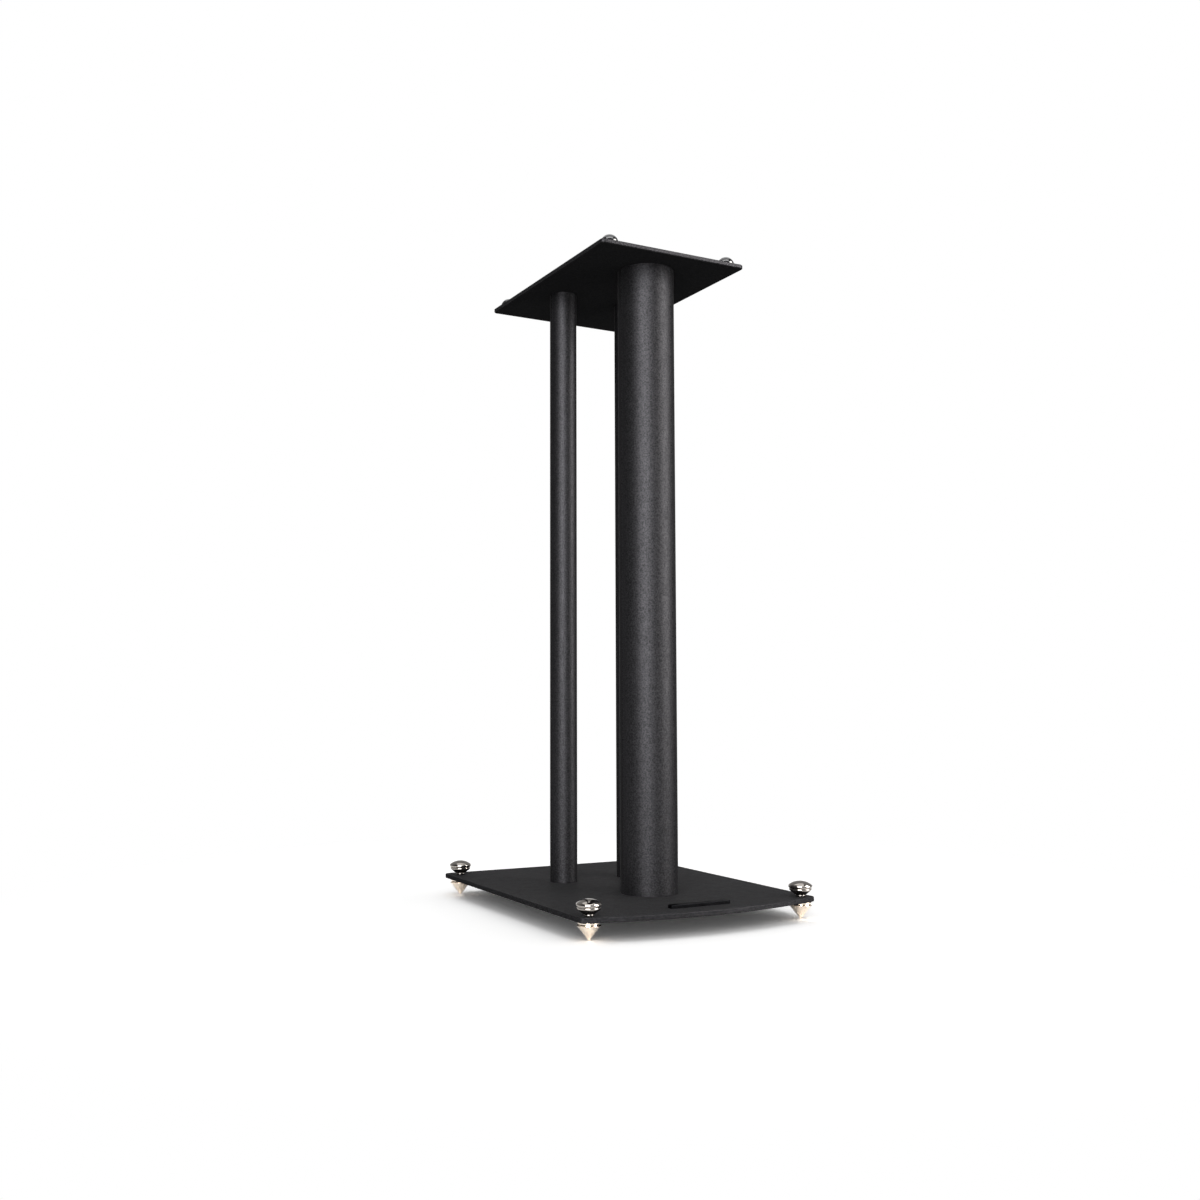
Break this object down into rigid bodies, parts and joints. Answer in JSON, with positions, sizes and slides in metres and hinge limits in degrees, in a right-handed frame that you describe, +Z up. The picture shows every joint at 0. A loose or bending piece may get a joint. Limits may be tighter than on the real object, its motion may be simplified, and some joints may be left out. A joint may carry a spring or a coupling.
{
  "type": "speaker stand",
  "caption": "Floor stand for a bookshelf loudspeaker: bowed base plate, pillar with two slim rear tubes, small top plate with pads, screw-in floor spikes and lock knobs.",
  "frame": {"origin": "on the floor at the middle of the base plate's footprint, level with the spike tips", "axes": "+Z up; the front with the bowed edge and the badge faces -Y; +X to the right of someone facing the front"},
  "size_m": [0.23, 0.293, 0.5866],
  "materials": {
    "powder_coat": "fine-textured satin black powder coat",
    "plain_steel": "turned steel, welded into the tubes",
    "black_screw": "black oxide",
    "spike_nickel": "polished warm nickel plate",
    "zinc_steel": "zinc-plated thread",
    "insert_steel": "dark nickel plate",
    "knob_nickel": "polished dark nickel plate",
    "pad_rubber": "glossy black moulded rubber",
    "badge_metal": "satin black, bare face"
  },
  "bodies": {
    "stand": {"base_plate": "powder_coat", "top_plate": "powder_coat", "badge": "badge_metal", "main_pillar": "powder_coat", "pillar_plug_bottom": "plain_steel", "pillar_screw_bottom": "black_screw", "pillar_plug_top": "plain_steel", "pillar_screw_top": "black_screw", "rear_left_tube": "powder_coat", "rear_left_plug_bottom": "plain_steel", "rear_left_screw_bottom": "black_screw", "rear_left_plug_top": "plain_steel", "rear_left_screw_top": "black_screw", "rear_right_tube": "powder_coat", "rear_right_plug_bottom": "plain_steel", "rear_right_screw_bottom": "black_screw", "rear_right_plug_top": "plain_steel", "rear_right_screw_top": "black_screw", "pad_front_left": "pad_rubber", "pad_front_right": "pad_rubber", "pad_back_left": "pad_rubber", "pad_back_right": "pad_rubber"},
    "stud_front_left": {"spike_stud_front_left": "zinc_steel"},
    "cone_front_left": {"spike_cone_front_left": "spike_nickel"},
    "insert_front_left": {"knob_insert_front_left": "insert_steel"},
    "cap_front_left": {"knob_cap_front_left": "knob_nickel"},
    "stud_front_right": {"spike_stud_front_right": "zinc_steel"},
    "cone_front_right": {"spike_cone_front_right": "spike_nickel"},
    "insert_front_right": {"knob_insert_front_right": "insert_steel"},
    "cap_front_right": {"knob_cap_front_right": "knob_nickel"},
    "stud_back_left": {"spike_stud_back_left": "zinc_steel"},
    "cone_back_left": {"spike_cone_back_left": "spike_nickel"},
    "insert_back_left": {"knob_insert_back_left": "insert_steel"},
    "cap_back_left": {"knob_cap_back_left": "knob_nickel"},
    "stud_back_right": {"spike_stud_back_right": "zinc_steel"},
    "cone_back_right": {"spike_cone_back_right": "spike_nickel"},
    "insert_back_right": {"knob_insert_back_right": "insert_steel"},
    "cap_back_right": {"knob_cap_back_right": "knob_nickel"}
  },
  "joints": [
    {"name": "spike_travel_front_left", "type": "slide", "parent": "stand", "child": "stud_front_left", "axis": [0, 0, 1], "range_m": [-0.005, 0]},
    {"name": "spike_turn_front_left", "type": "hinge", "parent": "stud_front_left", "child": "cone_front_left", "pos_m": [-0.104, -0.123, 0.0152], "axis": [0, 0, 1], "range_deg": [-1800, 0]},
    {"name": "knob_travel_front_left", "type": "slide", "parent": "stand", "child": "insert_front_left", "axis": [0, 0, 1], "range_m": [0, 0.0035]},
    {"name": "knob_turn_front_left", "type": "hinge", "parent": "insert_front_left", "child": "cap_front_left", "pos_m": [-0.104, -0.123, 0.0192], "axis": [0, 0, 1], "range_deg": [0, 1260]},
    {"name": "spike_travel_front_right", "type": "slide", "parent": "stand", "child": "stud_front_right", "axis": [0, 0, 1], "range_m": [-0.005, 0]},
    {"name": "spike_turn_front_right", "type": "hinge", "parent": "stud_front_right", "child": "cone_front_right", "pos_m": [0.104, -0.123, 0.0152], "axis": [0, 0, 1], "range_deg": [-1800, 0]},
    {"name": "knob_travel_front_right", "type": "slide", "parent": "stand", "child": "insert_front_right", "axis": [0, 0, 1], "range_m": [0, 0.0035]},
    {"name": "knob_turn_front_right", "type": "hinge", "parent": "insert_front_right", "child": "cap_front_right", "pos_m": [0.104, -0.123, 0.0192], "axis": [0, 0, 1], "range_deg": [0, 1260]},
    {"name": "spike_travel_back_left", "type": "slide", "parent": "stand", "child": "stud_back_left", "axis": [0, 0, 1], "range_m": [-0.005, 0]},
    {"name": "spike_turn_back_left", "type": "hinge", "parent": "stud_back_left", "child": "cone_back_left", "pos_m": [-0.104, 0.1318, 0.0152], "axis": [0, 0, 1], "range_deg": [-1800, 0]},
    {"name": "knob_travel_back_left", "type": "slide", "parent": "stand", "child": "insert_back_left", "axis": [0, 0, 1], "range_m": [0, 0.0035]},
    {"name": "knob_turn_back_left", "type": "hinge", "parent": "insert_back_left", "child": "cap_back_left", "pos_m": [-0.104, 0.1318, 0.0192], "axis": [0, 0, 1], "range_deg": [0, 1260]},
    {"name": "spike_travel_back_right", "type": "slide", "parent": "stand", "child": "stud_back_right", "axis": [0, 0, 1], "range_m": [-0.005, 0]},
    {"name": "spike_turn_back_right", "type": "hinge", "parent": "stud_back_right", "child": "cone_back_right", "pos_m": [0.104, 0.1318, 0.0152], "axis": [0, 0, 1], "range_deg": [-1800, 0]},
    {"name": "knob_travel_back_right", "type": "slide", "parent": "stand", "child": "insert_back_right", "axis": [0, 0, 1], "range_m": [0, 0.0035]},
    {"name": "knob_turn_back_right", "type": "hinge", "parent": "insert_back_right", "child": "cap_back_right", "pos_m": [0.104, 0.1318, 0.0192], "axis": [0, 0, 1], "range_deg": [0, 1260]}
  ],
  "couplings": [
    {"joint": "spike_turn_front_left", "follows": "spike_travel_front_left", "rad_per_m": 6283.2},
    {"joint": "knob_turn_front_left", "follows": "knob_travel_front_left", "rad_per_m": 6283.2},
    {"joint": "spike_turn_front_right", "follows": "spike_travel_front_right", "rad_per_m": 6283.2},
    {"joint": "knob_turn_front_right", "follows": "knob_travel_front_right", "rad_per_m": 6283.2},
    {"joint": "spike_turn_back_left", "follows": "spike_travel_back_left", "rad_per_m": 6283.2},
    {"joint": "knob_turn_back_left", "follows": "knob_travel_back_left", "rad_per_m": 6283.2},
    {"joint": "spike_turn_back_right", "follows": "spike_travel_back_right", "rad_per_m": 6283.2},
    {"joint": "knob_turn_back_right", "follows": "knob_travel_back_right", "rad_per_m": 6283.2}
  ]
}
